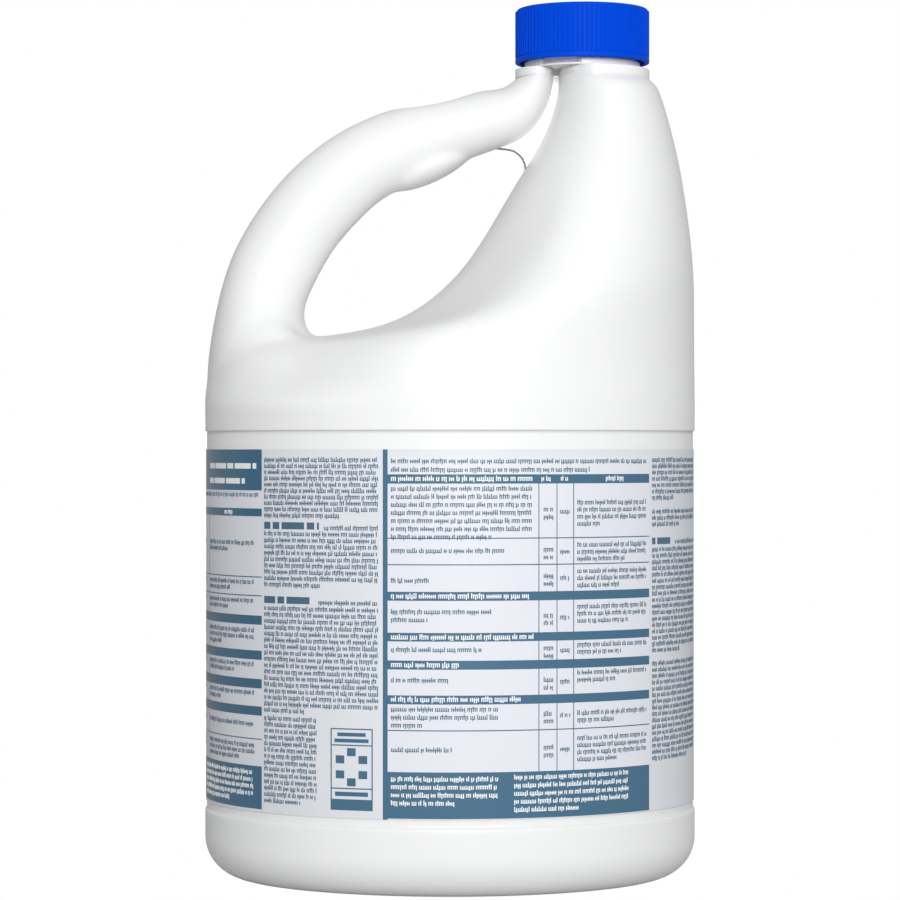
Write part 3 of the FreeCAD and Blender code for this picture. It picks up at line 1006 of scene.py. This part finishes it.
# Near side: the main table's rows
words("label_blue", MAIN_START, 72.6, 144.2, 2, 2.8)
for top, far in ((138.4, 28.0), (100.3, 27.0), (87.0, 28.0), (78.0, 4.0), (66.8, 24.0)):
    words("label_white", MAIN_START, far, top, 1, 2.6, 1.3)
for u0, u1 in ((30.2, 34.6), (37.0, 40.4), (54.0, 62.0)):
    words("label_white", u0, u1, 138.4, 1, 2.6)
for top, lines, far in (
    (135.2, 7, 27.5),
    (115.0, 1, 18.0),
    (105.3, 1, -6.0),
    (95.2, 2, 14.0),
    (82.9, 1, 11.0),
    (73.0, 1, 0.0),
    (63.6, 3, 16.0),
    (50.4, 1, 1.0),
):
    words("label_blue", MAIN_START, far, top, lines)
for middle in (126.5, 113.4, 104.8, 92.0, 81.3, 71.0, 60.0, 49.0):
    words("label_blue", 31.0, 34.6, middle + 1.9, 1)
    words("label_blue", 31.0, 34.6, middle - 0.6, 1)
    words("label_blue", 36.8, 40.8, middle + 1.2, 1)
for top, lines in (
    (130.4, 4),
    (116.6, 3),
    (108.0, 3),
    (96.4, 3),
    (83.9, 2),
    (74.8, 2),
    (61.6, 2),
    (53.4, 4),
):
    words("label_blue", 43.0, 72.4, top, lines, 2.3)
words("label_white", MAIN_START, 16.0, 41.0, 4)
words("label_white", 21.0, 64.0, 41.4, 5)
# Near side: the narrow column on the right and the table that goes round on the left
words_each(
    "label_blue",
    [
        (75.2, 112.0, 144.2, 7, FINE),
        (75.2, 112.0, 127.0, 3, FINE),
        (75.2, 88.0, 118.2, 1, 4.0, 2.8),
        (89.6, 112.0, 117.0, 1),
        (75.2, 112.0, 114.4, 17, FINE),
        (75.2, 112.0, 76.4, 16, FINE),
    ],
)
words("label_white", -105.0, -70.5, 143.4, 1, 4.4, 2.3)
words("label_white", -105.0, -76.0, 138.4, 1, 4.4, 2.3)
words("label_blue", -148.0, -69.6, 132.8, 2, 2.4)
words("label_white", -90.0, -84.0, 127.0, 1, 2.6)
for top, lines in (
    (116.6, 2),
    (103.6, 2),
    (97.4, 2),
    (87.6, 3),
    (76.4, 2),
    (66.9, 2),
    (56.5, 1),
    (49.5, 3),
):
    words("label_blue", -105.0, -71.5, top, lines, FINE)
    words("label_blue", -146.0, -114.0, top, lines, FINE)
words("label_white", -111.0, -72.0, 40.6, 5, 2.3)

# Far side: a blue front with a white oval and a white wave under it
FAR = FILM_RUN
FRONT_HALF = 88.0


def bulge(middle, half, side):
    """An edge of an oval: above or below its middle level."""
    return lambda t: middle + side * half * max(math.sqrt(max(1 - (2 * t - 1) ** 2, 0)), 0.02)


def wave(middle, swing, phase):
    """An edge that swings once or so along its plate."""
    return lambda t: middle + swing * math.sin(math.pi * (1.6 * t + phase))


BLUE_FIELDS.append((FAR - FRONT_HALF, FAR + FRONT_HALF, FILM_LOW, FILM_HIGH))
FAR_WHITE = [
    (FAR - 58.0, FAR + 58.0, bulge(104.0, 26.0, -1), bulge(104.0, 26.0, 1)),
    (FAR - FRONT_HALF, FAR + FRONT_HALF, wave(56.0, 8.0, 0.1), wave(62.0, 10.0, 0.0)),
]
FAR_BLUE = [
    (FAR - 44.0, FAR + 44.0, 106.0, 116.0),
    (FAR - 34.0, FAR + 34.0, 95.0, 101.0),
]
words("label_white", FAR - 60.0, FAR + 60.0, 46.0, 1, 6.0, 4.4)
words("label_white", FAR - 52.0, FAR + 52.0, 37.5, 2, 3.8, 2.0)

film = link_piece(
    "label_film",
    mesh_of(
        "label_film",
        [
            film_band(),
            patch(128.0, 136.0, FILM_LOW + 0.2, FILM_HIGH - 0.2, -0.1, 0.12),
        ],
        35,
    ),
    film_material("label_film", "DCDFE4"),
    "bottle",
)
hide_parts("label")
# Each print has a colour, its boxes, its lift off the film and the longest step along it
for name, colour, boxes, lift, longest in (
    ("label_pale", "DFE2E8", PALE_FIELDS, 0.02, 3.0),
    ("label_blue_fields", "416A85", BLUE_FIELDS, PRINT_LIFT, 3.0),
    ("label_blue_words", "4C6A80", word_bars["label_blue"], PRINT_LIFT, 3.0),
    ("label_white_words", "F1F4F6", word_bars["label_white"], PRINT_LIFT * 2, 3.0),
    ("label_front_white", "F1F4F6", FAR_WHITE, PRINT_LIFT * 2, 0.5),
    ("label_front_blue", "2C5F9E", FAR_BLUE, PRINT_LIFT * 3, 3.0),
):
    print_piece = link_piece(
        name,
        mesh_of(name, [patch(*box, over=lift, longest=longest) for box in boxes]),
        film_material(name, colour),
        "bottle",
    )


# Cap
# A blue polypropylene screw cap: 90 fine upright ribs between a rounded top edge and a
# plain band at the rim, with the thread and a foam liner inside.

CAP_TOP = cap_high[2] / MM
CAP_RIM = cap_low[2] / MM
CAP_RADIUS = (cap_high[0] - cap_low[0]) / 2 / MM
RIB_COUNT = 90
RIB_HIGH = 0.4
RIB_RADIUS = CAP_RADIUS - RIB_HIGH
CAP_BORE = CAP_RADIUS - 1.5
CAP_ROOF = CAP_TOP - 1.7
GROOVE_DEPTH = 0.25
THREAD_GAP = 0.35
# The cap's thread lies under the neck's, half the heights of both ridges and a gap lower
CAP_THREAD_START = THREAD_START - (1.8 + 1.3) / 2 - THREAD_GAP / 2
cap_plastic = plastic("cap_plastic", "0048D2", 0.45, 0.00001, 900.0)
cap_plastic.node_tree.nodes["Principled BSDF"].inputs["Specular IOR Level"].default_value = 0.03
cap_profile = (
    [(0, CAP_TOP), (20.0, CAP_TOP)]
    + [(20.3, CAP_TOP - GROOVE_DEPTH), (20.7, CAP_TOP - GROOVE_DEPTH), (21.0, CAP_TOP)]
    + corner_arc((RIB_RADIUS - 0.9, CAP_TOP - 0.9), 0.9, 90, 0, 6)
    + [(RIB_RADIUS, CAP_RIM + 2.1)]
    + corner_arc((CAP_RADIUS - 0.4, CAP_RIM + 1.5), 0.4, 80, 0, 4)
    + corner_arc((CAP_RADIUS - 0.4, CAP_RIM + 0.4), 0.4, 0, -90, 4)
    + corner_arc((CAP_BORE + 0.3, CAP_RIM + 0.3), 0.3, 270, 180, 4)
    + [(CAP_BORE, CAP_ROOF), (0, CAP_ROOF)]
)
cup = mesh_of(
    "cap_cup",
    [
        turned(cap_profile, 180),
        thread(
            root=CAP_BORE + 0.5,
            tip=NECK_RADIUS + THREAD_GAP,
            half_root=0.65,
            half_tip=0.29,
            start=CAP_THREAD_START,
        ),
    ],
    30,
)


def ribs_group(material):
    """Geometry nodes that stand ribs round the cup and join them to it."""
    tree = bpy.data.node_groups.new("cap_ribs", "GeometryNodeTree")
    face = tree.interface
    face.new_socket("Cup", in_out="INPUT", socket_type="NodeSocketGeometry")
    for name, kind, value in (
        ("Count", "NodeSocketInt", RIB_COUNT),
        ("Radius", "NodeSocketFloat", RIB_RADIUS * MM),
        ("Height", "NodeSocketFloat", (CAP_TOP - CAP_RIM - 3.0) * MM),
        ("Rib radius", "NodeSocketFloat", RIB_HIGH * MM),
        ("Middle", "NodeSocketVector", (NECK_AXIS * MM, 0, (CAP_TOP + CAP_RIM + 1.2) / 2 * MM)),
    ):
        face.new_socket(name, in_out="INPUT", socket_type=kind).default_value = value
    face.new_socket("Cap", in_out="OUTPUT", socket_type="NodeSocketGeometry")
    given = add_node(tree, "NodeGroupInput")
    ring = add_node(
        tree,
        "GeometryNodeMeshCircle",
        [(given.outputs["Count"], "Vertices"), (given.outputs["Radius"], "Radius")],
    )
    place = add_node(
        tree,
        "GeometryNodeTransform",
        [(ring.outputs["Mesh"], "Geometry"), (given.outputs["Middle"], "Translation")],
    )
    rib = add_node(
        tree,
        "GeometryNodeMeshCylinder",
        [(given.outputs["Rib radius"], "Radius"), (given.outputs["Height"], "Depth")],
        {"Vertices": 12},
    )
    stand = add_node(
        tree,
        "GeometryNodeInstanceOnPoints",
        [(place.outputs["Geometry"], "Points"), (rib.outputs["Mesh"], "Instance")],
    )
    real = add_node(
        tree, "GeometryNodeRealizeInstances", [(stand.outputs["Instances"], "Geometry")]
    )
    joined = add_node(
        tree,
        "GeometryNodeJoinGeometry",
        [(real.outputs["Geometry"], "Geometry"), (given.outputs["Cup"], "Geometry")],
    )
    painted = add_node(
        tree,
        "GeometryNodeSetMaterial",
        [(joined.outputs["Geometry"], "Geometry")],
        {"Material": material},
    )
    add_node(tree, "NodeGroupOutput", [(painted.outputs["Geometry"], "Cap")])
    return tree


cap = link_piece("cap_shell", cup, cap_plastic, "cap")
grown = cap.modifiers.new("ribs", "NODES")
grown.node_group = ribs_group(cap_plastic)
bpy.context.view_layer.update()
graph = bpy.context.evaluated_depsgraph_get()
full = bpy.data.meshes.new_from_object(cap.evaluated_get(graph))
cap.modifiers.remove(grown)
cap.data = full
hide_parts("cap")


# Cap liner
# The white foam disc is the CAD node itself with a matt material.

liner = next(o for o in bpy.data.objects if o.name.startswith("cap_liner"))
liner_foam = plastic("liner_foam", "ECEBE6", 0.8, 0.00004, 1600.0)
liner.data.materials.clear()
liner.data.materials.append(liner_foam)


# Set
# The jug stands alone in a white studio. The floor and the surroundings are pure white to
# the camera and light the jug softly, with one key above the camera and a grey card at the
# left, unseen by the camera, that keeps that side darker.


def flat_piece(name, corners, place, material):
    """A single flat face of the set."""
    mesh = bpy.data.meshes.new(name)
    mesh.from_pydata(corners, [], [(0, 1, 2, 3)])
    piece = bpy.data.objects.new(name, mesh)
    bpy.context.collection.objects.link(piece)
    piece.location = place
    piece.data.materials.append(material)
    return piece


def white_to_camera(owner, glow, soft, output):
    """Nodes that show a white glow to the camera, and to all else a shader and its inputs."""
    tree = owner.node_tree
    tree.nodes.clear()
    rays = add_node(tree, "ShaderNodeLightPath")
    softer = add_node(tree, soft[0], inputs=soft[1])
    white = add_node(tree, glow, inputs={"Color": (1, 1, 1, 1), "Strength": 1.0})
    pick = add_node(
        tree,
        "ShaderNodeMixShader",
        [(rays.outputs["Is Camera Ray"], "Fac"), (softer.outputs[0], 1), (white.outputs[0], 2)],
    )
    add_node(tree, output, [(pick.outputs[0], "Surface")])


floor_white = bpy.data.materials.new("floor_white")
floor_white.use_nodes = True
floor_grey = ("ShaderNodeBsdfDiffuse", {"Color": linear("CECECE")})
white_to_camera(floor_white, "ShaderNodeEmission", floor_grey, "ShaderNodeOutputMaterial")
floor = flat_piece(
    "floor", [(-3, -3, 0), (3, -3, 0), (3, 3, 0), (-3, 3, 0)], (0, 0, -0.0002), floor_white
)

world = bpy.data.worlds.new("studio")
bpy.context.scene.world = world
world.use_nodes = True
ambient = ("ShaderNodeBackground", {"Color": (1, 1, 1, 1), "Strength": 0.48})
white_to_camera(world, "ShaderNodeBackground", ambient, "ShaderNodeOutputWorld")

card = flat_piece(
    "card",
    [(0, -0.2, -0.2), (0, 0.2, -0.2), (0, 0.2, 0.2), (0, -0.2, 0.2)],
    (-0.6, -0.1, 0.1),
    plastic("card_grey", "202020", 0.9),
)
card.visible_camera = False

light = bpy.data.lights.new("key", "AREA")
light.shape = "RECTANGLE"
light.size = light.size_y = 0.6
light.energy = 19.5
key = bpy.data.objects.new("key", light)
bpy.context.collection.objects.link(key)
key.location = (0.15, -1.6, 0.72)
toward = mathutils.Vector((0.0, 0.0, 0.14)) - key.location
key.rotation_euler = toward.to_track_quat("-Z", "Y").to_euler()

camera = bpy.data.objects.new("camera", bpy.data.cameras.new("camera"))
bpy.context.collection.objects.link(camera)
camera.location = (0.0, -1.1407, 0.1465)
camera.rotation_euler = (math.radians(90), 0, 0)
camera.data.lens = 132.0
camera.data.sensor_width = 36.0
camera.data.clip_start = 0.05
scene = bpy.context.scene
scene.camera = camera
scene.render.engine = "CYCLES"
scene.cycles.samples = 72
scene.cycles.use_denoising = True
scene.render.resolution_x = scene.render.resolution_y = 900
scene.view_settings.view_transform = "Standard"
scene.view_settings.look = "None"
